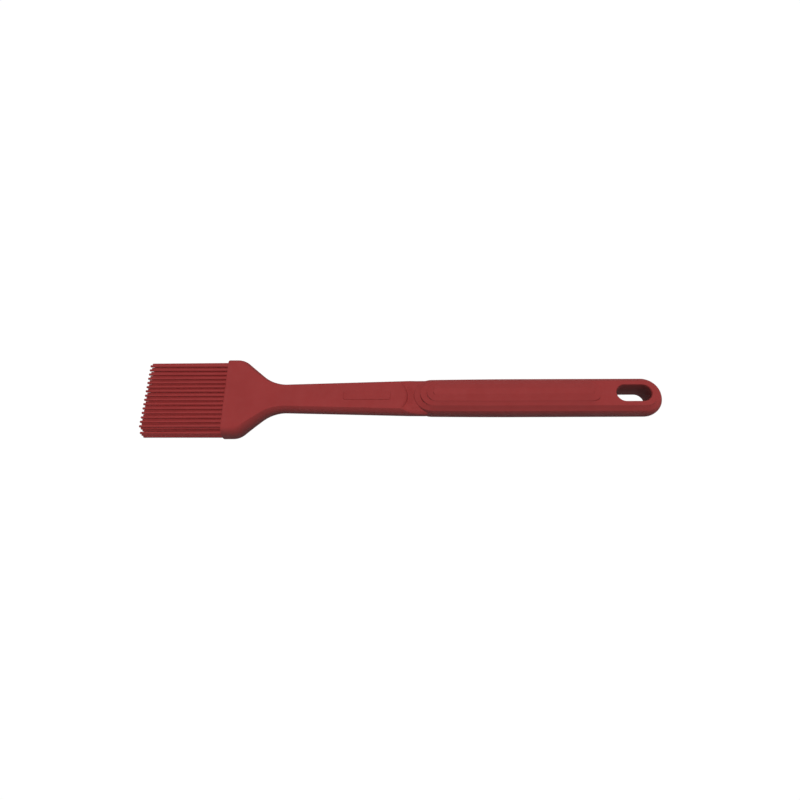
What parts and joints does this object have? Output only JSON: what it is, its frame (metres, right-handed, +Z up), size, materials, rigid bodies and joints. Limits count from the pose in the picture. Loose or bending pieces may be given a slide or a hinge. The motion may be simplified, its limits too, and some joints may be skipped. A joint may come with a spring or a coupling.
{
  "type": "silicone pastry brush",
  "caption": "Silicone pastry brush with rows of moulded strands in a spade-shaped head, a slim flat neck and a stepped grip with an oblong hanging slot.",
  "frame": {"origin": "middle of the whole brush's footprint, on the plane that the grip's lower plateau rests on", "axes": "+X along the brush from the strand tips to the hanging slot, +Z up, +Y across the head"},
  "size_m": [0.26, 0.0422, 0.0166],
  "materials": {
    "silicone_head": "matt",
    "silicone_grip": "matt",
    "silicone_strand": "matt",
    "nylon_core": "fine texture"
  },
  "bodies": {
    "handle": {"core_spine": "nylon_core", "head_cover": "silicone_head", "grip_cover": "silicone_grip", "bristle_block": "silicone_strand"},
    "row_1": {"bristle_row_1": "silicone_strand"},
    "row_2": {"bristle_row_2": "silicone_strand"},
    "row_3": {"bristle_row_3": "silicone_strand"},
    "row_4": {"bristle_row_4": "silicone_strand"},
    "row_5": {"bristle_row_5": "silicone_strand"}
  },
  "joints": [
    {"name": "row_1_flex", "type": "hinge", "parent": "handle", "child": "row_1", "pos_m": [-0.0905, 0, 0.0128], "axis": [0, 1, 0], "range_deg": [-30, 30], "stiffness_Nm_per_rad": 0.03},
    {"name": "row_2_flex", "type": "hinge", "parent": "handle", "child": "row_2", "pos_m": [-0.0905, 0, 0.01055], "axis": [0, 1, 0], "range_deg": [-30, 30], "stiffness_Nm_per_rad": 0.03},
    {"name": "row_3_flex", "type": "hinge", "parent": "handle", "child": "row_3", "pos_m": [-0.0905, 0, 0.0083], "axis": [0, 1, 0], "range_deg": [-30, 30], "stiffness_Nm_per_rad": 0.03},
    {"name": "row_4_flex", "type": "hinge", "parent": "handle", "child": "row_4", "pos_m": [-0.0905, 0, 0.00605], "axis": [0, 1, 0], "range_deg": [-30, 30], "stiffness_Nm_per_rad": 0.03},
    {"name": "row_5_flex", "type": "hinge", "parent": "handle", "child": "row_5", "pos_m": [-0.0905, 0, 0.0038], "axis": [0, 1, 0], "range_deg": [-30, 30], "stiffness_Nm_per_rad": 0.03}
  ],
  "couplings": [
    {"joint": "row_2_flex", "follows": "row_1_flex", "ratio": 1},
    {"joint": "row_3_flex", "follows": "row_1_flex", "ratio": 1},
    {"joint": "row_4_flex", "follows": "row_1_flex", "ratio": 1},
    {"joint": "row_5_flex", "follows": "row_1_flex", "ratio": 1}
  ]
}
